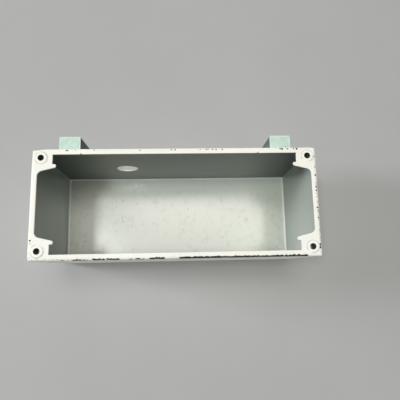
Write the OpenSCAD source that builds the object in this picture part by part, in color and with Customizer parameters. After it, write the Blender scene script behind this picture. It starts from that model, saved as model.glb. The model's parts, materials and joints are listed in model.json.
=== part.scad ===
// Open electrical box of folded sheet steel, lying on its back panel with its cover off.
// A lip is folded in round the opening and widens at each corner into a pad with a hooked nose.
// A blind threaded insert is set in each pad, and two square stand-off lugs are welded to the rear wall.
// Millimetres. +Z is up, +X runs along the box and +Y points to the wall with the lugs.
// The origin is the middle of the underside.

/* [Box] */
// Outside length
box_l = 254; // [200:1:400]
// Outside width
box_w = 98.5; // [85:0.5:160]
// Outside height, from the underside to the rim
box_h = 118; // [100:1:180]
// Thickness of the sheet
sheet_t = 1.9; // [1.2:0.1:2.5]
// Inside radius of the bends round the floor
floor_bend_r = 2.2; // [0.5:0.1:6]
// Inside radius of the bends under the lip
lip_bend_r = 0.6; // [0.2:0.1:1.5]
// Inside radius of the four upright welded corners
corner_in_r = 1; // [0.2:0.1:3]
// Outside radius of the four upright corners, where the weld is ground off
corner_out_r = 1.5; // [0.5:0.1:3]

/* [Lip and corner pads] */
// Width of the lip, from the outside face to its edge
lip_w = 5.3; // [4.5:0.1:8]
// Reach of a pad's straight edge from the end face
pad_reach = 18.3; // [16:0.1:24]
// Distance from the long face to the notch beside the nose
notch_depth = 14; // [13:0.1:18]
// Length of the nose past the pad's straight edge
nose_l = 3.1; // [2.5:0.1:8]
// Width of the nose
nose_w = 3.2; // [3.2:0.1:6]
// Radius of the two corners at the tip of the nose
nose_tip_r = 1.3; // [0.5:0.1:1.5]
// Lean of the slanted edge that runs from the nose to the end lip, in degrees
slant_a = 14; // [5:1:25]
// Radius of the fillet between the slanted edge and the end lip
pad_fillet_r = 4.5; // [2:0.5:8]

/* [Conduit hole] */
// Diameter of the conduit hole in the rear wall
conduit_d = 22.2; // [15:0.1:35]
// Distance from the left end face to the hole's middle
conduit_inset = 75; // [60:1:130]
// Height of the hole's middle above the underside
conduit_z = 51; // [30:1:65]

/* [Threaded inserts] */
// Diameter of the insert's flange
flange_d = 11; // [10:0.1:13]
// Flat left between the flange and the bends beside it
flange_gap = 0.3; // [0.1:0.1:2]
// Thickness of the flange, which stands proud of the pad
flange_t = 0.5; // [0.4:0.05:1]
// Diameter of the insert's barrel
barrel_d = 8.6; // [7.5:0.1:9.4]
// Length of the barrel under the top of the pad
barrel_l = 14; // [10:0.5:25]
// Diameter of the crimped collar that grips the pad from below
collar_d = 10.4; // [9.6:0.1:10.6]
// Height of the crimped collar
collar_h = 2.6; // [1.5:0.1:4]
// Diameter of the blind hole, at the crests of the thread
thread_d = 5.2; // [3:0.1:6.5]
// Thickness of the insert's closed end
insert_end_t = 1.6; // [0.8:0.1:3]
// Size of the chamfers at the rim of the flange and the mouth of the hole
insert_chamfer = 0.2; // [0.1:0.05:0.35]
// Gap between the barrel and its hole in the pad
insert_fit = 0.05; // [0.02:0.01:0.2]

/* [Lugs] */
// Side of the square bar
lug_w = 20; // [12:0.5:25]
// Length of the bar
lug_l = 50.8; // [30:0.1:60]
// Distance from an end face to the middle of the lug beside it
lug_inset = 25.4; // [18:0.1:40]
// Drop from the rim to the top of a lug
lug_drop = 27; // [5:1:35]
// Radius of the bar's long edges
lug_edge_r = 0.8; // [0.3:0.1:2]
// Leg of the round-faced weld along each side of a lug
weld_leg = 2.4; // [1.5:0.1:4]
// Length of bar left bare at each end of a weld
weld_inset = 4; // [0:0.5:10]
// Length over which a weld tapers off at its ends
weld_taper = 2; // [0.5:0.1:4]
// Diameter of the tapped hole in a lug's rear face
lug_hole_d = 7.9; // [4:0.1:10]
// Metal left between the point of the tapped hole and the box
lug_hole_end_t = 4.6; // [2:0.1:6]

/* [Hidden] */
$fn = 96;

// Overshoot of cutters past the faces that they cut
over = 1;
// Angle of a drill's point, from its axis
drill_point_a = 59;
// Share of the crimped collar's height that is at its full diameter
collar_full = 0.4;
// Share of a weld's leg at the very start of the bead
weld_start = 0.6;

paint_white = "#f0efe8";
paint_mint = "#cfe3d6";
insert_inset = sheet_t + lip_bend_r + flange_gap + flange_d / 2;
insert_x = box_l / 2 - insert_inset;
insert_y = box_w / 2 - insert_inset;
conduit_x = conduit_inset - box_l / 2;
lug_x = box_l / 2 - lug_inset;
lug_face_y = box_w / 2 + lug_w;
lug_top = box_h - lug_drop;
lug_hole_tip = lug_hole_d / 2 / tan(drill_point_a);
lug_hole_l = lug_w - lug_hole_end_t - lug_hole_tip;

// Outline of a pad, measured from the end face (first) and the long face (second):
// two round corners at the nose's tip, a slanted edge tangent to the second of them,
// and a fillet that leads from the slanted edge into the end lip
nose_tip = pad_reach + nose_l;
nose_low_c = [nose_tip - nose_tip_r, notch_depth + nose_tip_r];
nose_high_c = [nose_tip - nose_tip_r, notch_depth + nose_w - nose_tip_r];
slant_n = [sin(slant_a), cos(slant_a)];
slant_start = nose_high_c + nose_tip_r * slant_n;
fillet_u = lip_w + pad_fillet_r;
fillet_v = slant_start[1]
    + (pad_fillet_r - slant_n[0] * (fillet_u - slant_start[0])) / slant_n[1];
fillet_c = [fillet_u, fillet_v];
slant_end = fillet_c - pad_fillet_r * slant_n;

// Square corner to be cut away, less the quarter circle that stays
module corner_cut(r) {
    difference() {
        translate([-over, -over])
            square(r + over);
        translate([r, r])
            circle(r);
    }
}

// Rectangle, middle of its lower side at the origin, with round lower and upper corners
module rounded_rect(w, h, r_low, r_high) {
    difference() {
        translate([-w / 2, 0])
            square([w, h]);
        for (side = [0, 1])
            mirror([side, 0]) {
                translate([-w / 2, 0])
                    corner_cut(r_low);
                translate([-w / 2, h])
                    mirror([0, 1])
                        corner_cut(r_high);
            }
    }
}

// Block with bends along its lower and upper edges and round upright corners
module bent_block(l, w, h, r_low, r_high, r_corner) {
    intersection() {
        rotate([90, 0, 0])
            linear_extrude(w + 2 * over, center = true)
                rounded_rect(l, h, r_low, r_high);
        rotate([90, 0, 90])
            linear_extrude(l + 2 * over, center = true)
                rounded_rect(w, h, r_low, r_high);
        translate([0, 0, -over])
            linear_extrude(h + 2 * over)
                translate([0, -w / 2])
                    rounded_rect(l, w, r_corner, r_corner);
    }
}

// Plan of one corner pad
module pad_outline() {
    difference() {
        union() {
            polygon([
                [0, 0],
                [pad_reach, 0],
                [pad_reach, notch_depth],
                [nose_low_c[0], notch_depth],
                [nose_tip, nose_low_c[1]],
                [nose_tip, nose_high_c[1]],
                slant_start,
                slant_end,
                fillet_c,
                [lip_w, fillet_v],
                [0, fillet_v]
            ]);
            for (c = [nose_low_c, nose_high_c])
                translate(c)
                    circle(nose_tip_r);
        }
        translate(fillet_c)
            circle(pad_fillet_r);
    }
}

// Plan of the opening inside the lip and the four pads
module opening_outline() {
    difference() {
        square([box_l - 2 * lip_w, box_w - 2 * lip_w], center = true);
        for (mx = [0, 1], my = [0, 1])
            mirror([mx, 0])
                mirror([0, my])
                    translate([-box_l / 2, -box_w / 2])
                        pad_outline();
    }
}

// Folded box: floor, four walls, lip and pads in one sheet
module box_body() {
    color(paint_white)
        difference() {
            bent_block(box_l, box_w, box_h,
                floor_bend_r + sheet_t, lip_bend_r + sheet_t, corner_out_r);
            translate([0, 0, sheet_t])
                bent_block(box_l - 2 * sheet_t, box_w - 2 * sheet_t, box_h - 2 * sheet_t,
                    floor_bend_r, lip_bend_r, corner_in_r);
            translate([0, 0, box_h - sheet_t - over])
                linear_extrude(sheet_t + 2 * over)
                    opening_outline();
            translate([conduit_x, box_w / 2 - sheet_t - over, conduit_z])
                rotate([-90, 0, 0])
                    cylinder(d = conduit_d, h = sheet_t + 2 * over);
            for (x = [-insert_x, insert_x], y = [-insert_y, insert_y])
                translate([x, y, box_h - sheet_t - over])
                    cylinder(d = barrel_d + 2 * insert_fit, h = sheet_t + 2 * over);
        }
}

// Blind threaded insert, its flange on the pad and its collar crimped under it
module threaded_insert(x, y) {
    flange_r = flange_d / 2;
    barrel_r = barrel_d / 2;
    collar_r = collar_d / 2;
    thread_r = thread_d / 2;
    color(paint_white)
        translate([x, y, box_h])
            rotate_extrude()
                polygon([
                    [thread_r + insert_chamfer, flange_t],
                    [flange_r - insert_chamfer, flange_t],
                    [flange_r, flange_t - insert_chamfer],
                    [flange_r, 0],
                    [barrel_r, 0],
                    [barrel_r, -sheet_t],
                    [collar_r, -sheet_t],
                    [collar_r, -sheet_t - collar_full * collar_h],
                    [barrel_r, -sheet_t - collar_h],
                    [barrel_r, -barrel_l],
                    [0, -barrel_l],
                    [0, insert_end_t - barrel_l],
                    [thread_r, insert_end_t - barrel_l],
                    [thread_r, flange_t - insert_chamfer]
                ]);
}

module insert_front_left() { threaded_insert(-insert_x, -insert_y); }
module insert_front_right() { threaded_insert(insert_x, -insert_y); }
module insert_rear_left() { threaded_insert(-insert_x, insert_y); }
module insert_rear_right() { threaded_insert(insert_x, insert_y); }

// Weld bead along an upright line on the wall's face, tapered at both ends
module weld_bead() {
    intersection() {
        rotate_extrude()
            polygon([
                [0, weld_inset],
                [weld_leg * weld_start, weld_inset],
                [weld_leg, weld_inset + weld_taper],
                [weld_leg, lug_l - weld_inset - weld_taper],
                [weld_leg * weld_start, lug_l - weld_inset],
                [0, lug_l - weld_inset]
            ]);
        translate([-weld_leg - over, 0, 0])
            cube([2 * (weld_leg + over), weld_leg + over, lug_l]);
    }
}

// Upright length of square bar welded to the rear wall, with a tapped hole in its rear face
module lug(x) {
    color(paint_mint)
        difference() {
            translate([x, box_w / 2, lug_top - lug_l]) {
                linear_extrude(lug_l)
                    rounded_rect(lug_w, lug_w, lug_edge_r, lug_edge_r);
                for (side = [-1, 1])
                    translate([side * lug_w / 2, 0, 0])
                        weld_bead();
            }
            translate([x, lug_face_y, lug_top - lug_l / 2])
                rotate([90, 0, 0]) {
                    translate([0, 0, -over])
                        cylinder(d = lug_hole_d, h = lug_hole_l + over);
                    translate([0, 0, lug_hole_l])
                        cylinder(d1 = lug_hole_d, d2 = 0, h = lug_hole_tip);
                }
        }
}

module lug_left() { lug(-lug_x); }
module lug_right() { lug(lug_x); }

box_body();
insert_front_left();
insert_front_right();
insert_rear_left();
insert_rear_right();
lug_left();
lug_right();
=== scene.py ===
# An open electrical box of painted sheet steel, seen from above with its cover off.
# The box, its threaded inserts and its stand-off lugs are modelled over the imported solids,
# in metres and in the same frame: +X along the box, +Y to the lugs and +Z up.
import json
import math

import bmesh
import bpy
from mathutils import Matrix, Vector


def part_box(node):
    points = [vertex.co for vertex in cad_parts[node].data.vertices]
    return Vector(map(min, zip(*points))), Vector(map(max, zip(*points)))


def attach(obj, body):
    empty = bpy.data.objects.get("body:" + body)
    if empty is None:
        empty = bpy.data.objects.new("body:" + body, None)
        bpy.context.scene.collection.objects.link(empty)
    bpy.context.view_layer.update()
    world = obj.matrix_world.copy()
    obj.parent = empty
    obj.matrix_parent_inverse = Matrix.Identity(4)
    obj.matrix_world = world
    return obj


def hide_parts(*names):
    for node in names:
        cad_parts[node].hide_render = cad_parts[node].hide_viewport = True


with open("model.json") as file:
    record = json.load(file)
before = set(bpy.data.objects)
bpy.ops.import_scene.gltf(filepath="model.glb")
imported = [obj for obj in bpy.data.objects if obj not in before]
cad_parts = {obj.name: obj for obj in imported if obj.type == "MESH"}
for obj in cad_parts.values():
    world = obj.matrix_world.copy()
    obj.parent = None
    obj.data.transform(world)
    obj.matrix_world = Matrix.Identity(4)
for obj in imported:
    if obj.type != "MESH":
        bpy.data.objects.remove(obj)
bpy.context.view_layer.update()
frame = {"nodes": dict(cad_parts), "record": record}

MM = 0.001

# Sizes taken from the frame
mounts = {mount["name"]: mount for mount in frame["record"]["mounts"]}
box_low, box_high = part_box("box_body")
box_l = box_high.x - box_low.x
box_w = box_high.y - box_low.y
box_h = box_high.z
conduit_at = Vector(mounts["conduit_entry"]["pos_m"])
conduit_r = mounts["conduit_entry"]["dims"]["r_mm"] * MM
sheet_t = mounts["conduit_entry"]["dims"]["length_mm"] * MM
insert_hole_r = mounts["cover_screws"]["dims"]["hole_r_mm"] * MM
lug_hole_r = mounts["lug_bolts"]["dims"]["hole_r_mm"] * MM

# Axes of the inserts, on top of the pads, and their flanges
insert_nodes = [name for name in frame["nodes"] if name.startswith("insert_")]
insert_axes = {}
for name in insert_nodes:
    low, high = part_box(name)
    insert_axes[name] = Vector(((low.x + high.x) / 2, (low.y + high.y) / 2, box_h))
flange_low, flange_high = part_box(insert_nodes[0])
flange_r = (flange_high.x - flange_low.x) / 2
flange_t = flange_high.z - box_h

# Bends of the sheet, and the lip with its corner pads
floor_bend_r = 2.2 * MM
lip_bend_r = 0.6 * MM
corner_in_r = 1.0 * MM
corner_out_r = 1.5 * MM
lip_w = 5.3 * MM
pad_reach = 18.3 * MM
notch_depth = 14 * MM
nose_l = 3.1 * MM
nose_w = 3.2 * MM
nose_tip_r = 1.3 * MM
slant = math.radians(14)
pad_fillet_r = 4.5 * MM
paint_edge_r = 0.4 * MM

# Threaded inserts
insert_fit = 0.05 * MM
insert_end_t = 1.6 * MM
insert_edge = 0.2 * MM
barrel_r = 4.3 * MM
barrel_l = 14 * MM
collar_r = 5.2 * MM
collar_h = 2.6 * MM
insert_thread = {"depth": 0.55 * MM, "pitch": 1.27 * MM}

# Lugs
lug_nodes = ("lug_left", "lug_right")
lug_edge_r = 0.8 * MM
lug_end_edge_r = 0.3 * MM
lug_hole_end_t = 4.6 * MM
lug_thread = {"depth": 0.8 * MM, "pitch": 1.588 * MM}
weld_inset = 4 * MM
weld_taper = 2 * MM
weld_ripple = 1.3 * MM
drill_point = math.radians(59)

# Steps in round shapes, and angles that tell edges apart
round_sides = 96
bead_sides = 40
thread_steps = 48
bend_steps = 8
bar_edge_steps = 6
edge_steps = 3
right_angle = math.pi / 2
sharp_angle = math.radians(60)
smooth_angle = math.radians(35)
straight_angle = math.radians(1)

# Overshoot of a tool past the face that it cuts, and how close two places are to count as one
over = 1 * MM
near = 0.05 * MM
touching = 0.01 * MM
sliver = 0.004 * MM

# Point off to one side of the part, from which meshes are put in order
ordering_point = (0.31, 0.17, 0.53)


# Modelling by hand

def put_down():
    """Selects nothing, in object mode."""
    bpy.ops.object.select_all(action="DESELECT")


def take_up(piece):
    """Selects only this piece, in object mode, and makes it active."""
    put_down()
    piece.select_set(True)
    bpy.context.view_layer.objects.active = piece


def edit(piece):
    """Opens one piece in edit mode."""
    take_up(piece)
    bpy.ops.object.mode_set(mode="EDIT")


def leave_edit():
    bpy.ops.object.mode_set(mode="OBJECT")


def middle(element):
    """Middle of a vertex, an edge or a face in edit mode."""
    if isinstance(element, bmesh.types.BMVert):
        return element.co
    return sum((vert.co for vert in element.verts), Vector()) / len(element.verts)


def pick(kind, test):
    """Selects, in edit mode, only the verts, edges or faces that pass the test."""
    bpy.ops.mesh.select_mode(type={"verts": "VERT", "edges": "EDGE", "faces": "FACE"}[kind])
    bpy.ops.mesh.select_all(action="DESELECT")
    mesh = bpy.context.edit_object.data
    shape = bmesh.from_edit_mesh(mesh)
    for element in getattr(shape, kind):
        if test(element):
            element.select_set(True)
    shape.select_flush_mode()
    bmesh.update_edit_mesh(mesh)


def pick_all():
    """Selects the whole of the open mesh."""
    bpy.ops.mesh.select_all(action="SELECT")


def face_outwards():
    """Turns all faces of the open mesh outwards."""
    pick_all()
    bpy.ops.mesh.normals_make_consistent(inside=False)


def paint_faces(piece, slot, test):
    """Gives the faces that pass the test, in edit mode, the finish in one of the piece's slots."""
    pick("faces", test)
    piece.active_material_index = slot
    bpy.ops.object.material_slot_assign()


def same(a, b):
    return abs(a - b) < touching


def settle(piece):
    """Puts a piece's place, turn and size into its mesh, so that its object sits at the origin."""
    take_up(piece)
    bpy.ops.object.transform_apply(location=True, rotation=True, scale=True)


def added(name):
    """Names the primitive that was just added, and settles it."""
    piece = bpy.context.active_object
    piece.name = name
    settle(piece)
    return piece


def use_modifier(piece, kind, **settings):
    """Adds a modifier, sets it and applies it."""
    take_up(piece)
    modifier = piece.modifiers.new(kind.lower(), kind)
    for name, value in settings.items():
        setattr(modifier, name, value)
    bpy.ops.object.modifier_apply(modifier=modifier.name)


def put_in_order(piece):
    """Sorts a mesh by distance from a point off to one side, so that every run cuts it alike."""
    cursor = bpy.context.scene.cursor
    cursor.location = ordering_point
    edit(piece)
    pick_all()
    bpy.ops.mesh.sort_elements(type="CURSOR_DISTANCE", elements={"VERT", "EDGE", "FACE"})
    leave_edit()
    cursor.location = (0, 0, 0)


def cut(piece, tool):
    """Takes the shape of a tool out of a piece, and puts the tool away."""
    use_modifier(piece, "BOOLEAN", object=tool, operation="DIFFERENCE", solver="EXACT")
    bpy.data.objects.remove(tool)


def fuse(piece, addition):
    """Makes an addition one with a piece."""
    use_modifier(piece, "BOOLEAN", object=addition, operation="UNION", solver="EXACT")
    bpy.data.objects.remove(addition)
    put_in_order(piece)


def clean(piece):
    """Merges the doubled points and takes out the slivers that cutting leaves."""
    put_in_order(piece)
    edit(piece)
    pick_all()
    bpy.ops.mesh.remove_doubles(threshold=sliver)
    pick_all()
    bpy.ops.mesh.dissolve_degenerate(threshold=sliver)
    leave_edit()


def smooth(piece):
    """Shades the bends smoothly and keeps the flat faces flat."""
    take_up(piece)
    bpy.ops.object.shade_smooth_by_angle(angle=smooth_angle)
    use_modifier(piece, "WEIGHTED_NORMAL", keep_sharp=True, weight=100)


def copy_of(first, name, shift):
    """Smooth copy of a piece, with its own mesh, moved by a shift."""
    piece = bpy.data.objects.new(name, first.data.copy())
    bpy.context.scene.collection.objects.link(piece)
    piece.location = shift
    settle(piece)
    smooth(piece)
    return piece


def stands_for(piece, node):
    """Makes a piece ride on the part in a solid's place, and hides that solid."""
    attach(piece, "root")
    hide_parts(node)


# Shapes that the pieces start from, and tools that cut them

def add_cube(name, low, high):
    """Cube that fills the space between two corners."""
    put_down()
    bpy.ops.mesh.primitive_cube_add(size=1, location=(low + high) / 2, scale=high - low)
    return added(name)


def add_turned(name, profile, sides=round_sides):
    """Turned solid: a ring is extruded and scaled along a profile of radii and heights."""
    radius, height = profile[0]
    put_down()
    bpy.ops.mesh.primitive_circle_add(vertices=sides, radius=radius, location=(0, 0, height))
    piece = added(name)
    edit(piece)
    pick_all()
    for next_radius, next_height in profile[1:]:
        step = (0, 0, next_height - height)
        bpy.ops.mesh.extrude_region_move(TRANSFORM_OT_translate={"value": step})
        share = next_radius / radius
        bpy.ops.transform.resize(value=(share, share, 1), center_override=(0, 0, next_height))
        radius, height = next_radius, next_height
    pick_all()
    bpy.ops.mesh.fill_holes(sides=sides)
    face_outwards()
    leave_edit()
    put_in_order(piece)
    return piece


def drill(centre, radius, length, turn=(0, 0, 0)):
    """Round bar about a centre, for cutting a hole."""
    put_down()
    bpy.ops.mesh.primitive_cylinder_add(vertices=round_sides, radius=radius, depth=length,
                                        location=centre, rotation=turn)
    return added("drill")


def add_thread_groove(crest_r, depth, pitch, top, bottom):
    """Coil with the section of a thread's groove, from one square swept by a Screw modifier.

    It is turned by half a facet of the hole, so that its edges never meet those of the hole."""
    half_facet = math.pi / round_sides
    run_in = 0.1 * MM
    low_r = crest_r - run_in
    high_r = crest_r + depth
    root_w = 0.125 * pitch
    crest_w = 0.75 * pitch
    mouth_w = crest_w + (crest_w - root_w) * run_in / depth
    turns = int((top - bottom) / pitch)
    put_down()
    bpy.ops.mesh.primitive_plane_add(size=1, rotation=(right_angle, 0, 0))
    bpy.context.active_object.scale = (high_r - low_r, mouth_w, 1)
    bpy.context.active_object.location = ((high_r + low_r) / 2, 0, bottom)
    coil = added("thread_groove")
    edit(coil)
    pick("verts", lambda vert: vert.co.x > crest_r)
    bpy.ops.transform.resize(value=(1, 1, root_w / mouth_w), center_override=(high_r, 0, bottom))
    pick_all()
    bpy.ops.mesh.delete(type="ONLY_FACE")
    leave_edit()
    use_modifier(coil, "SCREW", axis="Z", angle=2 * math.pi, screw_offset=pitch, iterations=turns,
                 steps=thread_steps, render_steps=thread_steps)
    edit(coil)
    pick_all()
    bpy.ops.mesh.fill_holes(sides=4)
    face_outwards()
    leave_edit()
    coil.rotation_euler.z = half_facet
    settle(coil)
    return coil


def bent_block(name, low, high, low_r, high_r, corner_r):
    """Block whose lower, upper and upright edges have their own bend radii."""
    block = add_cube(name, low, high)
    widest = max(low_r, high_r, corner_r)
    edit(block)
    for radius, height in ((low_r, low.z), (high_r, high.z), (corner_r, (low.z + high.z) / 2)):
        pick("edges", lambda edge: same(middle(edge).z, height))
        bpy.ops.transform.edge_bevelweight(value=radius / widest)
    leave_edit()
    use_modifier(block, "BEVEL", limit_method="WEIGHT", width=widest, segments=bend_steps)
    return block


# Folded box

def opening_tool():
    """Prism of the opening inside the lip and pads, from one quarter cut out of a plane."""
    far = Vector((box_l / 2, box_w / 2))
    quarter = far - Vector((lip_w, lip_w))
    pad_x = far.x - pad_reach
    nose_x = pad_x - nose_l
    notch_y = far.y - notch_depth
    tip_middle = Vector((nose_x + nose_tip_r, notch_y - nose_w + nose_tip_r))
    slant_n = Vector((-math.sin(slant), -math.cos(slant)))
    slant_at = tip_middle + nose_tip_r * slant_n

    put_down()
    bpy.ops.mesh.primitive_plane_add(size=1, location=(*quarter / 2, 0))
    bpy.context.active_object.scale = (*quarter, 1)
    tool = added("opening")
    edit(tool)
    lines = (((pad_x, 0), (1, 0)), ((nose_x, 0), (1, 0)), ((0, notch_y), (0, 1)), (slant_at, slant_n))
    for point, normal in lines:
        pick_all()
        bpy.ops.mesh.bisect(plane_co=(*point, 0), plane_no=(*normal, 0))

    def in_pad(face):
        at = middle(face).to_2d()
        if at.y > notch_y:
            return at.x > pad_x
        return at.x > nose_x and (at - slant_at).dot(slant_n) < 0

    pick("faces", in_pad)
    bpy.ops.mesh.delete(type="FACE")
    pick_all()
    bpy.ops.mesh.dissolve_limited(angle_limit=straight_angle)

    def on_slant(x):
        return Vector((x, slant_at.y - (x - slant_at.x) * math.tan(slant)))

    corners = ((Vector((nose_x, notch_y)), nose_tip_r, right_angle),
               (on_slant(nose_x), nose_tip_r, right_angle + slant),
               (on_slant(quarter.x), pad_fillet_r, right_angle + slant))
    for corner, radius, between in corners:
        pick("verts", lambda vert: (vert.co.to_2d() - corner).length < near)
        bpy.ops.mesh.bevel(offset=radius / math.tan(between / 2), segments=bend_steps,
                           affect="VERTICES")
    leave_edit()
    use_modifier(tool, "MIRROR", use_axis=(True, True, False), merge_threshold=touching)
    edit(tool)
    pick_all()
    bpy.ops.mesh.dissolve_limited(angle_limit=straight_angle)
    pick_all()
    bpy.ops.mesh.extrude_region_move(TRANSFORM_OT_translate={"value": (0, 0, sheet_t + 2 * over)})
    face_outwards()
    leave_edit()
    tool.location.z = box_h - sheet_t - over
    settle(tool)
    return tool


def is_lip_edge(edge):
    """True for the sharp edges of the opening and of the conduit hole."""
    if not edge.is_manifold or edge.calc_face_angle() < sharp_angle:
        return False
    at = middle(edge)
    if (at - conduit_at).length < conduit_r + sheet_t:
        return True
    level = same(edge.verts[0].co.z, edge.verts[1].co.z)
    in_sheet = at.z > box_h - sheet_t - lip_bend_r
    in_opening = abs(at.x) < box_l / 2 - lip_w + over and abs(at.y) < box_w / 2 - lip_w + over
    from_insert = min((at - axis).to_2d().length for axis in insert_axes.values())
    return level and in_sheet and in_opening and from_insert >= barrel_r + over


def is_inside(face):
    """True for the faces of the hollow: its floor, walls and bends, and the underside of the lip."""
    at = middle(face)
    between_ends = abs(at.x) < box_l / 2 - sheet_t + near
    between_walls = abs(at.y) < box_w / 2 - sheet_t + near
    return between_ends and between_walls and sheet_t - near < at.z < box_h - sheet_t + near


def is_hole_edge(face):
    """True for the cut edge of the sheet all round the conduit hole."""
    from_axis = (middle(face) - conduit_at).xz.length
    return abs(face.normal.y) < 0.5 and from_axis < conduit_r + near


def make_box_shell(rim_paint, inside_paint, edge_paint):
    """Folded box: a bent block, hollowed, opened and drilled, with its finishes."""
    shell = bent_block("box_shell", box_low, box_high,
                       floor_bend_r + sheet_t, lip_bend_r + sheet_t, corner_out_r)
    wall = Vector((sheet_t, sheet_t, sheet_t))
    cut(shell, bent_block("hollow", box_low + wall, box_high - wall,
                          floor_bend_r, lip_bend_r, corner_in_r))
    cut(shell, opening_tool())
    cut(shell, drill(conduit_at, conduit_r, sheet_t + 2 * over, (right_angle, 0, 0)))
    for axis in insert_axes.values():
        cut(shell, drill(axis, barrel_r + insert_fit, 2 * (sheet_t + over)))
    for finish in (rim_paint, inside_paint, edge_paint):
        shell.data.materials.append(finish)
    edit(shell)
    paint_faces(shell, 1, is_inside)
    paint_faces(shell, 2, is_hole_edge)
    pick("edges", is_lip_edge)
    bpy.ops.mesh.bevel(offset=paint_edge_r, segments=edge_steps, affect="EDGES",
                       clamp_overlap=True, material=0)
    leave_edit()
    smooth(shell)
    stands_for(shell, "box_body")


# Threaded inserts

def insert_profile():
    """Radii and heights of an insert, from the bottom of its hole, over the flange, to its end."""
    under = -sheet_t
    return [
        (insert_hole_r, insert_end_t - barrel_l),
        (insert_hole_r, flange_t - insert_edge),
        (insert_hole_r + insert_edge, flange_t),
        (flange_r - insert_edge, flange_t),
        (flange_r - 0.3 * insert_edge, flange_t - 0.3 * insert_edge),
        (flange_r, flange_t - insert_edge),
        (flange_r, 0),
        (barrel_r, 0),
        (barrel_r, under),
        (0.97 * collar_r, under),
        (collar_r, under - 0.15 * collar_h),
        (0.99 * collar_r, under - 0.4 * collar_h),
        (0.92 * collar_r, under - 0.7 * collar_h),
        (barrel_r, under - collar_h),
        (barrel_r, insert_edge - barrel_l),
        (barrel_r - insert_edge, -barrel_l),
    ]


def make_inserts(rim_paint, thread_metal):
    """Models one insert about its axis, and copies it to the four pads."""
    first = add_turned("insert", insert_profile())
    top = -insert_thread["pitch"] / 2
    bottom = insert_end_t - barrel_l + insert_thread["pitch"]
    cut(first, add_thread_groove(insert_hole_r, **insert_thread, top=top, bottom=bottom))
    clean(first)
    first.data.materials.append(rim_paint)
    first.data.materials.append(thread_metal)
    edit(first)
    paint_faces(first, 1, lambda face: middle(face).z < flange_t - insert_edge / 2
                and middle(face).to_2d().length < barrel_r - insert_edge)
    leave_edit()
    for node, axis in insert_axes.items():
        stands_for(copy_of(first, "painted_" + node, axis), node)
    bpy.data.objects.remove(first)


# Lugs

def add_weld_bead(leg, length):
    """Half of a rippled round bead, upright on the wall's face, tapered at both ends."""
    tip_r = 0.6 * leg
    valley_r = 0.90 * leg
    crest_r = 0.985 * leg
    start = weld_inset + weld_taper
    count = round((length - 2 * start) / weld_ripple)
    step = (length - 2 * start) / count
    profile = [(tip_r, weld_inset), (valley_r, start)]
    for ripple in range(count):
        profile.append((crest_r, start + (ripple + 0.6) * step))
        profile.append((valley_r, start + (ripple + 1) * step))
    profile.append((tip_r, length - weld_inset))
    bead = add_turned("weld_bead", profile, sides=bead_sides)
    room = leg + over
    cut(bead, add_cube("wall", Vector((-room, -room, 0)), Vector((room, 0, length))))
    return bead


def add_bar(low, high):
    """Length of square bar with rounded long edges and slightly broken end edges."""
    bar = add_cube("lug", low, high)
    mid_height = (low.z + high.z) / 2
    edit(bar)
    pick("edges", lambda edge: same(middle(edge).z, mid_height))
    bpy.ops.mesh.bevel(offset=lug_edge_r, segments=bar_edge_steps, affect="EDGES")
    pick("edges", lambda edge: edge.calc_face_angle() > sharp_angle
         and middle(edge).y > low.y + lug_edge_r / 2)
    bpy.ops.mesh.bevel(offset=lug_end_edge_r, segments=edge_steps, affect="EDGES")
    leave_edit()
    return bar


def make_lugs(lug_paint, thread_metal):
    """Models one lug in the first place, with its welds and tapped hole, and copies it to both."""
    low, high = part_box(lug_nodes[0])
    bar_w = high.y - low.y
    weld_leg = (high.x - low.x - bar_w) / 2
    bar_low = low + Vector((weld_leg, 0, 0))
    bar_high = high - Vector((weld_leg, 0, 0))
    first = add_bar(bar_low, bar_high)
    for x in (bar_low.x, bar_high.x):
        bead = add_weld_bead(weld_leg, high.z - low.z)
        bead.location = (x, low.y, low.z)
        settle(bead)
        fuse(first, bead)

    hole_at = Vector(((low.x + high.x) / 2, high.y, (low.z + high.z) / 2))
    tip = lug_hole_r / math.tan(drill_point)
    depth = high.y - low.y - lug_hole_end_t - tip
    sink = lug_thread["depth"]
    bit = add_turned("drill", [
        (lug_hole_r + sink + over, over),
        (lug_hole_r, -sink),
        (lug_hole_r, -depth),
        (0.01 * lug_hole_r, -depth - 0.99 * tip),
    ])
    groove = add_thread_groove(lug_hole_r, **lug_thread, top=0, bottom=lug_thread["pitch"] - depth)
    for tool in (bit, groove):
        tool.rotation_euler.x = -right_angle
        tool.location = hole_at
        settle(tool)
        cut(first, tool)
    clean(first)

    def in_hole(face):
        at = middle(face)
        from_axis = (at - hole_at).xz.length
        return low.y + over < at.y < high.y - sink and from_axis < lug_hole_r + 1.1 * sink

    first.data.materials.append(lug_paint)
    first.data.materials.append(thread_metal)
    edit(first)
    paint_faces(first, 1, in_hole)
    leave_edit()
    for node in lug_nodes:
        stands_for(copy_of(first, "painted_" + node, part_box(node)[0] - low), node)
    bpy.data.objects.remove(first)


# Ways to build a finish

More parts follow.
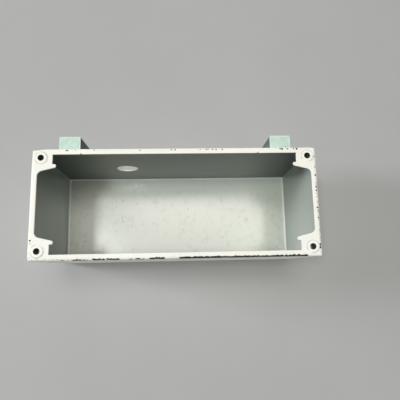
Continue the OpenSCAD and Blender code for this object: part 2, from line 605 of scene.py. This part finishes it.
class Nodes:
    """Node tree of a material or of the world, and short ways to add to it."""

    def __init__(self, owner):
        owner.use_nodes = True
        self.tree = owner.node_tree

    def feed(self, socket, value):
        if isinstance(value, bpy.types.NodeSocket):
            self.tree.links.new(value, socket)
        else:
            socket.default_value = value

    def node(self, kind, settings=None, **inputs):
        """Adds a node, sets it up and feeds its named inputs."""
        made = self.tree.nodes.new(kind)
        for name, value in (settings or {}).items():
            setattr(made, name, value)
        for name, value in inputs.items():
            self.feed(made.inputs[name.replace("_", " ")], value)
        return made

    def math(self, operation, a, b=0.0):
        made = self.node("ShaderNodeMath", {"operation": operation})
        self.feed(made.inputs[0], a)
        self.feed(made.inputs[1], b)
        return made.outputs[0]

    def either(self, *masks):
        strongest = masks[0]
        for mask in masks[1:]:
            strongest = self.math("MAXIMUM", strongest, mask)
        return strongest

    def background_ray(self):
        """1 for rays that show the background itself, 0 for the light that it throws back."""
        path = self.node("ShaderNodeLightPath").outputs
        return self.either(path["Is Camera Ray"], path["Is Glossy Ray"], path["Is Transmission Ray"])

    def show(self, output, share, a, b):
        """Sends shader a, going over to shader b by a share, to the tree's output."""
        made = self.node("ShaderNodeMixShader", Fac=share)
        self.feed(made.inputs[1], a.outputs[0])
        self.feed(made.inputs[2], b.outputs[0])
        self.feed(self.tree.nodes[output].inputs["Surface"], made.outputs[0])


class Finish(Nodes):
    """Procedural material whose patterns read the piece's own Object coordinates, in metres."""

    def __init__(self, name, **constants):
        self.material = bpy.data.materials.new(name)
        super().__init__(self.material)
        self.shader = self.tree.nodes["Principled BSDF"]
        for socket, value in constants.items():
            self.shader.inputs[socket.replace("_", " ")].default_value = value
        self.place = self.node("ShaderNodeTexCoord").outputs["Object"]
        self.x, self.y, self.z = self.node("ShaderNodeSeparateXYZ", Vector=self.place).outputs

    def both(self, a, b):
        return self.math("MULTIPLY", a, b)

    def minus(self, a, b):
        return self.math("SUBTRACT", a, b)

    def size(self, value):
        return self.math("ABSOLUTE", value)

    def sum(self, *values):
        total = values[0]
        for value in values[1:]:
            total = self.math("ADD", total, value)
        return total

    def noise(self, size, detail=2.0, distortion=0.0):
        """Cloudy pattern from 0 to 1 with features of about this size."""
        return self.node("ShaderNodeTexNoise", Vector=self.place, Scale=1 / size, Detail=detail,
                         Distortion=distortion).outputs["Fac"]

    def swing(self, pattern, amount):
        """A pattern that swings by an amount to either side of zero."""
        return self.both(self.minus(pattern, 0.5), 2 * amount)

    def rise(self, value, start, end):
        """Smooth step from 0 at the start to 1 at the end."""
        made = self.node("ShaderNodeMapRange", {"interpolation_type": "SMOOTHSTEP"}, Value=value)
        made.inputs["From Min"].default_value = min(start, end)
        made.inputs["From Max"].default_value = max(start, end)
        made.inputs["To Min"].default_value = 0.0 if start < end else 1.0
        made.inputs["To Max"].default_value = 1.0 if start < end else 0.0
        return made.outputs["Result"]

    def mix(self, share, a, b):
        """Colour a, going over to colour b by a share."""
        made = self.node("ShaderNodeMix", {"data_type": "RGBA"})
        self.feed(made.inputs[0], share)
        for socket, colour in ((made.inputs[6], a), (made.inputs[7], b)):
            self.feed(socket, colour if isinstance(colour, bpy.types.NodeSocket) else (*colour, 1))
        return made.outputs[2]

    def distance(self, x, y, mirrored=False):
        """Distance in plan from an upright axis, or from the nearest of its four mirror images."""
        at = (self.size(self.x), self.size(self.y)) if mirrored else (self.x, self.y)
        made = self.node("ShaderNodeVectorMath", {"operation": "DISTANCE"})
        self.feed(made.inputs[0], self.node("ShaderNodeCombineXYZ", X=at[0], Y=at[1]).outputs[0])
        made.inputs[1].default_value = (x, y, 0)
        return made.outputs["Value"]

    def spot(self, x, y, radius):
        """Soft round mark in plan, from its place and radius in millimetres."""
        return self.rise(self.distance(x * MM, y * MM), radius * MM, 0.4 * radius * MM)

    def ring(self, x, y, radius, width):
        """Soft wavy ring in plan, from its place, radius and width in millimetres."""
        wavy = self.swing(self.noise(1.3 * radius * MM), 0.35 * radius * MM)
        off = self.minus(self.sum(self.distance(x * MM, y * MM), wavy), radius * MM)
        return self.rise(self.size(off), width * MM, 0.2 * width * MM)

    def stretches(self, along, half, shares):
        """Share along an edge, from stretches of (start, end, share) in millimetres."""
        made = self.node("ShaderNodeValToRGB")
        self.feed(made.inputs["Fac"], self.sum(self.math("DIVIDE", along, 2 * half), 0.5))
        ramp = made.color_ramp
        ramp.elements[0].color = (0, 0, 0, 1)
        ramp.elements[1].color = (0, 0, 0, 1)
        for start, end, share in shares:
            for at, value in ((start - 1, 0), (start, share), (end, share), (end + 1, 0)):
                ramp.elements.new(0.5 + at * MM / (2 * half)).color = (value, value, value, 1)
        return made.outputs["Color"]

    def finish(self, colour, roughness, bump=None, bump_depth=0.0):
        self.feed(self.shader.inputs["Base Color"], colour)
        self.feed(self.shader.inputs["Roughness"], roughness)
        if bump is not None:
            relief = self.node("ShaderNodeBump", Strength=1.0, Distance=bump_depth, Height=bump)
            self.feed(self.shader.inputs["Normal"], relief.outputs["Normal"])
        return self.material


# White paint of the rim and the outside, what lies on it or shows through it, and painted shade round
# the flanges and at the lip's edge
warm_white = (0.855, 0.845, 0.785)
aged_white = (0.825, 0.815, 0.75)
speck_grey = (0.30, 0.29, 0.265)
handled_grey = (0.46, 0.445, 0.40)
# Grey at the rear corners of the rim
corner_grey = (0.34, 0.335, 0.32)
# Painted shade round the flanges
flange_shade = (0.36, 0.35, 0.33)
# Bare steel and painted shade at the lip's cut edge
lip_edge_dark = (0.05, 0.043, 0.03)
rust_brown = (0.20, 0.10, 0.05)
chip_black = (0.012, 0.010, 0.009)

# Runs of chipped paint along the front edge of the rim, and of rust along its right edge:
# start and end in mm, and share
front_chips = ((-99, -95.8, 0.64), (-88.6, -76.2, 0.76), (-72, -49, 0.84), (-40.6, -26.6, 0.72),
               (-23.6, -10.8, 0.92), (1.4, 114.6, 0.93))
rust_run = ((-41, -10, 0.5),)
# Share at which a run of chips has its usual width
full_chip = 0.8
# Single chips along the other edges: place along the edge and radius, in mm
rear_chips = ((-121.2, 0.7), (-96.8, 0.8), (-95.3, 0.6), (-89.2, 0.5), (-72.6, 0.5), (-31.6, 0.5),
              (-9.8, 0.6), (-3.9, 0.9), (-0.7, 0.7), (21.9, 0.6), (27.4, 0.6), (29, 0.7), (32.9, 0.9),
              (36.2, 0.7), (41.7, 0.6), (94.6, 1.0), (96.4, 1.0), (101.3, 0.9), (107, 0.8),
              (109.6, 1.1))
right_chips = ((40.1, 0.5), (30.6, 0.7), (22.8, 1.0), (15.6, 0.7), (14, 0.6), (12, 0.9), (8.7, 0.9),
               (6.1, 0.6), (3.2, 0.6), (-1.3, 0.6), (-6.7, 0.9), (-9.5, 0.6), (-15.7, 0.6),
               (-39.3, 0.9), (-41.8, 0.9))
left_chips = ((-31.5, 1.0), (-34.3, 0.5))
# Rust spots on the lip: place and radius, in mm
rust_spots = ((-84, 44.1, 1.1), (74, 44.1, 1.0))


class RimPaint(Finish):
    """Paint of the rim and the outside, with the places that its marks are measured from."""

    def __init__(self):
        super().__init__("rim_paint", Specular_IOR_Level=0.2)
        self.half_l = box_l / 2
        self.half_w = box_w / 2
        self.ragged = self.noise(1.6 * MM, detail=4)
        self.depth = self.minus(box_h, self.z)
        self.inward = self.either(self.minus(self.size(self.x), self.half_l),
                                  self.minus(self.size(self.y), self.half_w))
        ragged_depth = self.sum(self.depth, self.swing(self.ragged, 1.2 * MM))
        self.above = self.rise(ragged_depth, 3.0 * MM, 2.6 * MM)
        self.on_top = self.rise(ragged_depth, 1.8 * MM, 1.4 * MM)

    def chipped_front(self):
        """Paint chipped off to dark steel, in broken runs along the front edge."""
        gaps = self.rise(self.noise(2.4 * MM, detail=1), 0.56, 0.46)
        warp = self.swing(self.noise(3 * MM), 1.5 * MM)
        worn = self.stretches(self.sum(self.x, warp), self.half_l, front_chips)
        broken = self.both(gaps, self.both(self.minus(1.0, worn), 1.2))
        worn = self.minus(worn, broken)
        from_edge = self.minus(self.both(self.y, -1.0), self.half_w - 1.35 * MM)
        wider = self.both(self.minus(worn, full_chip), 2.6 * MM)
        across = self.sum(from_edge, self.swing(self.ragged, 1.5 * MM), wider)
        down = self.sum(self.both(worn, 2.9 * MM), self.swing(self.ragged, 1.8 * MM),
                        self.swing(self.noise(5 * MM), 2.4 * MM))
        down = self.minus(down, self.depth)
        return self.both(self.rise(across, 0.0, 0.2 * MM), self.rise(down, 0.0, 0.2 * MM))

    def chipped_dots(self):
        """Single ragged chips along the rear, right and left edges."""
        chip_in = 1.7 * MM
        places = [(x * MM, self.half_w - chip_in, radius * MM) for x, radius in rear_chips]
        places += [(self.half_l - chip_in, y * MM, radius * MM) for y, radius in right_chips]
        places += [(1.4 * chip_in - self.half_l, y * MM, radius * MM) for y, radius in left_chips]
        dots = []
        for x, y, radius in places:
            off = self.sum(self.distance(x, y), self.swing(self.ragged, 1.2 * MM))
            dots.append(self.both(self.rise(off, radius, 0.6 * radius), self.on_top))
        return self.either(*dots)

    def specks(self):
        """Grey dirt in specks, thickest along the outer edges and at the front left corner."""
        near_edge = self.both(self.rise(self.inward, -5 * MM, -0.5 * MM),
                              self.rise(self.depth, 6 * MM, 2 * MM))
        front_left = self.both(self.rise(self.y, -38 * MM, -48 * MM),
                               self.rise(self.x, -50 * MM, -115 * MM))
        thick = self.both(near_edge, self.sum(0.09, self.both(front_left, 0.10)))
        grains = self.sum(self.noise(1.1 * MM), thick)
        return self.both(self.rise(grains, 0.70, 0.78), 0.6)

    def handling(self):
        """Faint handling marks on the outside of the walls, and dust towards the underside."""
        outside = self.rise(self.depth, 5 * MM, 14 * MM)
        smears = self.rise(self.noise(15 * MM, detail=5, distortion=0.8), 0.50, 0.76)
        cloudy = self.rise(self.noise(7 * MM, detail=4), 0.3, 0.75)
        dust = self.both(self.rise(self.z, 30 * MM, 0.0), cloudy)
        return self.both(outside, self.either(self.both(smears, 0.13), self.both(dust, 0.3)))

    def grey_rear_corners(self):
        """Grey at the rear corners of the rim, less so away from each corner."""
        from_left = self.sum(self.x, self.half_l)
        from_right = self.minus(self.half_l, self.x)
        from_rear = self.minus(self.half_w, self.y)
        strips = ((from_rear, from_left, 2.3, 0.16), (from_left, from_rear, 1.7, 0.075),
                  (from_rear, from_right, 1.2, 0.12), (from_right, from_rear, 1.2, 0.12))
        grey_corners = []
        for across, along, width, slope in strips:
            bare = self.minus(width * MM, self.both(along, slope))
            bare = self.sum(self.minus(bare, across), self.swing(self.ragged, 0.8 * MM))
            grey_corners.append(self.rise(bare, 0.0, 0.4 * MM))
        return self.both(self.either(*grey_corners), self.above)

    def shade_round_flanges(self):
        """Broken rings of painted shade round the flanges of the inserts, where they meet the pads."""
        axis = next(iter(insert_axes.values()))
        from_axis = self.distance(abs(axis.x), abs(axis.y), mirrored=True)
        off = self.size(self.minus(from_axis, flange_r - 0.05 * MM))
        broken = self.rise(self.noise(4 * MM), 0.3, 0.65)
        return self.both(self.both(self.rise(off, 0.7 * MM, 0.1 * MM), broken), self.above)

    def dark_lip_edge_and_shade(self):
        """Cut edge of the lip, dark partly as bare steel and partly as painted shade under the lip,
        darkest along the rear wall.
        """
        ragged_depth = self.sum(self.depth, self.swing(self.ragged, 0.5 * MM))
        below = self.rise(ragged_depth, 0.5 * MM, 0.8 * MM)
        in_opening = self.both(self.rise(self.inward, -lip_w + 0.3 * MM, -lip_w - 0.1 * MM),
                               self.rise(self.depth, sheet_t + 0.4 * MM, sheet_t + 0.2 * MM))
        rear_share = self.sum(0.35, self.both(self.rise(self.y, 41 * MM, 43 * MM), 0.6))
        return self.both(self.both(below, in_opening), rear_share)

    def rust(self):
        """Rust spots on the lip at the rear, and a thin broken line along the right edge."""
        spots = self.either(*[self.spot(*spot) for spot in rust_spots])
        line = self.both(self.rise(self.x, self.half_l - 2.4 * MM, self.half_l - 1.2 * MM),
                         self.stretches(self.y, self.half_w, rust_run))
        line = self.both(line, self.rise(self.ragged, 0.35, 0.65))
        return self.both(self.either(self.both(spots, 0.8), line), self.above)


def make_rim_paint():
    """Warm white paint, chipped to dark steel along the outer edges, with specks, a little rust and
    painted shade round the flanges and at the lip's edge.
    """
    paint = RimPaint()
    cloud = paint.noise(28 * MM)
    fine = paint.noise(0.5 * MM, detail=3)
    chips = paint.either(paint.chipped_front(), paint.chipped_dots())
    grey_corners = paint.grey_rear_corners()
    colour = paint.mix(paint.rise(cloud, 0.35, 0.7), warm_white, aged_white)
    colour = paint.mix(paint.specks(), colour, speck_grey)
    colour = paint.mix(paint.handling(), colour, handled_grey)
    colour = paint.mix(paint.both(grey_corners, 0.85), colour, corner_grey)
    # Painted shade round the flanges where they meet the pads
    colour = paint.mix(paint.both(paint.shade_round_flanges(), 0.65), colour, flange_shade)
    # Bare steel and painted shade at the lip's cut edge, strongest at the rear
    colour = paint.mix(paint.dark_lip_edge_and_shade(), colour, lip_edge_dark)
    colour = paint.mix(paint.rust(), colour, rust_brown)
    colour = paint.mix(chips, colour, chip_black)
    roughness = paint.sum(0.54, paint.swing(cloud, 0.06))
    height = paint.sum(paint.both(fine, 0.25), paint.both(chips, -2.0), paint.both(grey_corners, -1.0))
    return paint.finish(colour, roughness, height, 0.05 * MM)


# Grey-green paint of the inside, the dirt on it, and painted light and shade on it
# One paint, painted lighter on the floor as painted light and darker on the walls as painted shade
shaded_wall_warm = (0.405, 0.430, 0.386)
shaded_wall_cool = (0.380, 0.442, 0.420)
lit_floor_warm = (0.533, 0.552, 0.488)
lit_floor_cool = (0.549, 0.574, 0.511)
floor_mottle = (0.462, 0.487, 0.424)
# Painted light lifting the shade on the rear strip of the floor
floor_painted_light = (0.68, 0.77, 0.71)
floor_dirt = (0.15, 0.16, 0.125)
# Painted shade of the rear wall
rear_shade_tone = (0.086, 0.112, 0.104)
# Painted highlights along the inside bends, stronger along the rear
bend_highlight = (0.86, 0.885, 0.83)
rear_bend_highlight = (0.95, 0.965, 0.92)

# Marks on the inside floor: place and radius in mm, and the width of the rings
floor_dots = ((-78.5, 35.9, 0.9), (-106.6, -24.6, 1.0), (114, -35, 0.9), (-71, 14, 0.8),
              (-105.4, 5.6, 0.7), (-64.3, 21.4, 0.7), (79.8, -4.4, 0.9))
floor_smudges = ((-88.6, -4.2, 1.2), (-86.5, 19.9, 1.0), (-72, -13.5, 1.5), (-71.8, -19.4, 1.2),
                 (-66.5, -25.6, 1.3), (-51.5, -4.2, 1.4), (-40, -6.3, 1.4), (-64.5, 1.4, 1.6),
                 (-57.2, 1.6, 1.2), (-73.8, -5.3, 1.5), (-48, 18, 1.4), (-106.6, -30.1, 1.2),
                 (-92.8, -30.4, 1.3), (7.4, 8.7, 1.2), (15, -24.4, 1.2), (51.6, -22.4, 1.1))
floor_rings = ((13.7, 6.4, 5.0, 0.9), (79.8, -4.4, 2.6, 0.7), (-67.5, 21, 3.8, 0.8),
               (-61, 0.2, 3.6, 0.8))


class InsidePaint(Finish):
    """Paint of the inside, with the places that its marks are measured from."""

    def __init__(self):
        super().__init__("inside_paint", Specular_IOR_Level=0.5)
        self.wall_x = box_l / 2 - sheet_t
        self.wall_y = box_w / 2 - sheet_t

    def floor_marks(self):
        """Dots, smudges, broken rings, scrawled lines and grains of dirt on the floor."""
        patchy = self.both(self.rise(self.noise(3.5 * MM), 0.46, 0.62), 0.72)
        marks = [self.spot(*dot) for dot in floor_dots]
        marks += [self.both(self.spot(*smudge), 0.3) for smudge in floor_smudges]
        marks += [self.both(self.ring(*ring), patchy) for ring in floor_rings]
        line = self.size(self.minus(self.noise(9 * MM, detail=1, distortion=1.2), 0.5))
        scrawl = self.both(self.rise(line, 0.018, 0.004), self.rise(self.noise(22 * MM), 0.52, 0.66))
        grain = self.rise(self.noise(1.6 * MM), 0.70, 0.80)
        return self.either(*marks, self.both(scrawl, 0.4), self.both(grain, 0.3))

    def painted_rear_shade(self):
        """Painted shade on the rear wall, where little light falls, thicker towards its corners and
        its foot.
        """
        from_corner = self.distance(self.wall_x, self.wall_y, mirrored=True)
        painted_shade = self.sum(0.31, self.both(self.rise(from_corner, 60 * MM, 2 * MM), 0.5))
        at_foot = self.both(self.rise(self.z, sheet_t + 8 * MM, sheet_t + 4 * MM), 0.75)
        on_rear = self.both(self.rise(self.y, self.wall_y - 2 * MM, self.wall_y - 0.3 * MM),
                            self.rise(self.z, sheet_t + 1.2 * MM, sheet_t + 2.4 * MM))
        return self.both(self.either(painted_shade, at_foot), on_rear)

    def painted_bend_highlights(self):
        """Painted highlights along the bends round the floor and in the upright corners."""
        foot = self.both(self.rise(self.z, sheet_t + 0.02 * MM, sheet_t + 0.3 * MM),
                         self.rise(self.z, sheet_t + 2.3 * MM, sheet_t + 1.4 * MM))
        corner = self.both(
            self.rise(self.size(self.x), self.wall_x - 0.9 * MM, self.wall_x - 0.3 * MM),
            self.rise(self.size(self.y), self.wall_y - 0.9 * MM, self.wall_y - 0.3 * MM))
        return self.either(foot, self.both(corner, 0.5))


def make_inside_paint():
    """Grey-green paint with marks on the floor, and painted light and shade: a lighter floor with a
    lit rear strip and highlighted bends, darker walls and a shaded, duller rear wall.
    """
    paint = InsidePaint()
    cloud = paint.noise(45 * MM)
    mottle = paint.noise(6 * MM, detail=3)
    fine = paint.noise(0.6 * MM, detail=3)
    painted_shade = paint.painted_rear_shade()
    wall = paint.mix(paint.rise(cloud, 0.3, 0.7), shaded_wall_warm, shaded_wall_cool)
    floor = paint.mix(cloud, lit_floor_warm, lit_floor_cool)
    floor = paint.mix(paint.rise(mottle, 0.5, 0.8), floor, floor_mottle)
    # Painted light in a cool tone, lifting the shade along the rear strip of the floor
    rear_floor_light = paint.both(paint.rise(paint.y, 18 * MM, 40 * MM),
                           paint.rise(paint.x, -88 * MM, -40 * MM))
    floor = paint.mix(paint.both(rear_floor_light, 0.5), floor, floor_painted_light)
    floor = paint.mix(paint.both(paint.floor_marks(), 0.75), floor, floor_dirt)
    on_floor = paint.rise(paint.z, sheet_t + 1.6 * MM, sheet_t + 0.3 * MM)
    # Darker walls and lighter floor: painted shade and painted light
    colour = paint.mix(on_floor, wall, floor)
    # Painted shade over the rear wall, darkest in its corners and at its foot; the paint is also
    # duller there
    colour = paint.mix(painted_shade, colour, rear_shade_tone)
    # Painted highlights along the bends, brightest along the rear
    at_rear = paint.rise(paint.y, paint.wall_y - 4 * MM, paint.wall_y - 2.5 * MM)
    bend_highlight_tone = paint.mix(at_rear, bend_highlight, rear_bend_highlight)
    colour = paint.mix(paint.both(paint.painted_bend_highlights(), 0.9), colour, bend_highlight_tone)
    roughness = paint.sum(0.21, paint.swing(mottle, 0.04), paint.both(painted_shade, 0.5))
    return paint.finish(colour, roughness, fine, 0.012 * MM)


# Mint paint of the lugs, the metal of the tapped holes and the edge of the conduit hole, with painted
# light and shade on them
mint_dark = (0.44, 0.575, 0.50)
mint_light = (0.53, 0.655, 0.59)
# Paler tone along the edges of the bars' ends
mint_pale_edge = (0.66, 0.76, 0.71)
# Painted shade on the sides of the lugs
lug_side_shade = (0.085, 0.11, 0.092)
lug_spot_dirt = (0.12, 0.15, 0.13)
# Thread steel darkened as painted shade in the holes
shaded_thread_steel = (0.12, 0.115, 0.108)
thread_stain = (0.03, 0.028, 0.025)
# Painted light at the bottom of the inserts
hole_bottom_light = (0.55, 0.54, 0.50)
# Painted light on the edge of the conduit hole
edge_lit_white = (0.95, 0.94, 0.905)
edge_lit_steel = (0.88, 0.87, 0.83)

# Spot of dirt on the right lug: place and radius, in mm
lug_spot = (106.8, 58, 1.0)


def make_lug_paint():
    """Mint paint, mottled, with painted shade on the sides, and paler along the edges of the bars."""
    paint = Finish("lug_paint", Specular_IOR_Level=0.15)
    mottle = paint.noise(4 * MM, detail=4)
    fine = paint.noise(0.6 * MM, detail=3)
    colour = paint.mix(paint.rise(mottle, 0.3, 0.7), mint_dark, mint_light)

    low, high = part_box("lug_right")
    bar_half = (high.y - low.y) / 2
    half_h = (high.z - low.z) / 2
    from_middle = paint.minus(paint.size(paint.x), (low.x + high.x) / 2)
    side = paint.minus(paint.size(from_middle), bar_half)
    rear = paint.minus(paint.y, high.y)
    near_edge = paint.sum(paint.either(side, rear), paint.swing(mottle, 0.5 * MM))
    from_mid_height = paint.size(paint.minus(paint.z, low.z + half_h))
    on_end = paint.rise(from_mid_height, half_h - 0.5 * MM, half_h - 0.2 * MM)
    on_side = paint.both(paint.rise(side, -0.6 * MM, -0.1 * MM), paint.rise(on_end, 1.0, 0.0))
    # Painted shade on the sides of the bars
    side_shade = paint.both(on_side, paint.sum(0.87, paint.swing(mottle, 0.3)))
    colour = paint.mix(side_shade, colour, lug_side_shade)
    # Paler along the edges of the ends
    pale_edges = paint.both(paint.rise(near_edge, -1.6 * MM, -0.8 * MM), on_end)
    colour = paint.mix(paint.both(pale_edges, 0.6), colour, mint_pale_edge)
    colour = paint.mix(paint.both(paint.spot(*lug_spot), 0.7), colour, lug_spot_dirt)
    roughness = paint.sum(0.62, paint.swing(mottle, 0.06))
    return paint.finish(colour, roughness, fine, 0.02 * MM)


def make_shaded_thread_metal():
    """Dull steel of the tapped holes, made dark as painted shade of the deep holes, and lighter at the
    bottom of the inserts as painted light.
    """
    metal = Finish("thread_metal", Metallic=0.6)
    insert_end = box_h - barrel_l
    hole_end = box_h - barrel_l + insert_end_t
    stain = metal.noise(1.5 * MM, detail=3)
    colour = metal.mix(metal.rise(stain, 0.35, 0.75), shaded_thread_steel, thread_stain)
    deep = metal.rise(metal.z, hole_end + 0.6 * MM, hole_end)
    in_insert = metal.rise(metal.z, insert_end, insert_end + insert_end_t / 2)
    colour = metal.mix(metal.both(metal.both(deep, in_insert), 0.9), colour, hole_bottom_light)
    roughness = metal.sum(0.52, metal.swing(stain, 0.12))
    return metal.finish(colour, roughness, stain, 0.02 * MM)


def make_lit_edge_paint():
    """Edge of the conduit hole, painted lighter than the rim paint and partly metallic, as painted
    light on its lit lower edge.
    """
    paint = Finish("edge_paint", Metallic=0.45)
    patches = paint.noise(1.2 * MM, detail=3)
    colour = paint.mix(paint.rise(patches, 0.4, 0.75), edge_lit_white, edge_lit_steel)
    roughness = paint.sum(0.56, paint.swing(patches, 0.06))
    return paint.finish(colour, roughness, patches, 0.02 * MM)


# Stage: pale floor, soft light from above and the photograph's view

floor_tones = ((0.385, 0.385, 0.382), (0.405, 0.405, 0.402))
bounce_tone = (0.24, 0.24, 0.238)
backdrop_tone = (0.455, 0.455, 0.452)
ambient_tone = (0.95, 0.98, 1.0)
ambient_strength = 0.03

# Side of the floor, and how far from the part it starts and ends going over into the backdrop, in m
floor_size = 12
backdrop_start = 0.30
backdrop_full = 1.3

# Lamps, all turned to the middle of the rim: place and size in metres, watts and colour
lamps = {
    "overhead_panel": ((-0.11, 0, 3.118), (1.32, 0.89), 20, (1.0, 0.98, 0.945)),
    "left_panel": ((-0.91, -0.06, 3.118), (0.55, 0.40), 31.5, (0.98, 1.0, 0.985)),
    "rear_panel": ((0.11, 0.64, 3.118), (1.32, 0.59), 18.5, (1.0, 0.97, 0.92)),
    "right_panel": ((0.64, 0.08, 3.118), (0.70, 0.42), 8.8, (1.0, 0.985, 0.93)),
    "left_fill": ((-2.94, 0.52, 1.265), (0.7, 1.0), 68, (0.94, 0.98, 1.0)),
    "low_front_fill": ((2.0, -2.3, 0.40), (1.4, 0.35), 34, (1.0, 1.0, 1.0)),
    "low_rear_fill": ((0, 3.0, 0.35), (1.4, 0.35), 19, (1.0, 1.0, 1.0)),
}

# Camera: place in metres, turn in degrees, and lens and sensor in mm
camera_place = (4.856 * MM, -58.08 * MM, 464.381 * MM)
camera_turn = (9.784, -2.4198, -1.1888)
camera_lens = 36
camera_sensor = 36


def make_floor():
    """Pale floor that keeps the shadow near the part and far from it goes over into the backdrop."""
    put_down()
    bpy.ops.mesh.primitive_plane_add(size=floor_size)
    floor = added("floor")
    ground = Finish("pale_floor", Specular_IOR_Level=0.2)
    seen = ground.mix(ground.noise(60 * MM, detail=3), *floor_tones)
    tone = ground.mix(ground.background_ray(), bounce_tone, seen)
    floor.data.materials.append(ground.finish(tone, 0.8))
    far = ground.rise(ground.distance(0, 0), backdrop_start, backdrop_full)
    glow = ground.node("ShaderNodeEmission", Color=(*backdrop_tone, 1))
    ground.show("Material Output", ground.both(far, ground.background_ray()), ground.shader, glow)


def make_world():
    """Even backdrop that gives only a little light of its own."""
    world = bpy.data.worlds.new("studio")
    bpy.context.scene.world = world
    sky = Nodes(world)
    ambient = sky.tree.nodes["Background"]
    sky.feed(ambient.inputs["Color"], (*ambient_tone, 1))
    sky.feed(ambient.inputs["Strength"], ambient_strength)
    backdrop = sky.node("ShaderNodeBackground", Color=(*backdrop_tone, 1))
    sky.show("World Output", sky.background_ray(), ambient, backdrop)


def add_lamp(name, place, size, watts, colour):
    data = bpy.data.lights.new(name, "AREA")
    data.shape = "RECTANGLE"
    data.size, data.size_y = size
    data.energy = watts
    data.color = colour
    lamp = bpy.data.objects.new(name, data)
    bpy.context.scene.collection.objects.link(lamp)
    lamp.location = place
    towards = Vector((0, 0, box_h)) - Vector(place)
    lamp.rotation_euler = towards.to_track_quat("-Z", "Y").to_euler()


def make_camera():
    data = bpy.data.cameras.new("photo_view")
    data.sensor_width = camera_sensor
    data.lens = camera_lens
    camera = bpy.data.objects.new("photo_view", data)
    bpy.context.scene.collection.objects.link(camera)
    camera.location = camera_place
    camera.rotation_euler = [math.radians(angle) for angle in camera_turn]
    bpy.context.scene.camera = camera


bpy.context.scene.view_settings.view_transform = "Standard"
make_camera()
make_floor()
make_world()
for name, settings in lamps.items():
    add_lamp(name, *settings)

rim_paint = make_rim_paint()
thread_metal = make_shaded_thread_metal()
make_box_shell(rim_paint, make_inside_paint(), make_lit_edge_paint())
make_inserts(rim_paint, thread_metal)
make_lugs(make_lug_paint(), thread_metal)
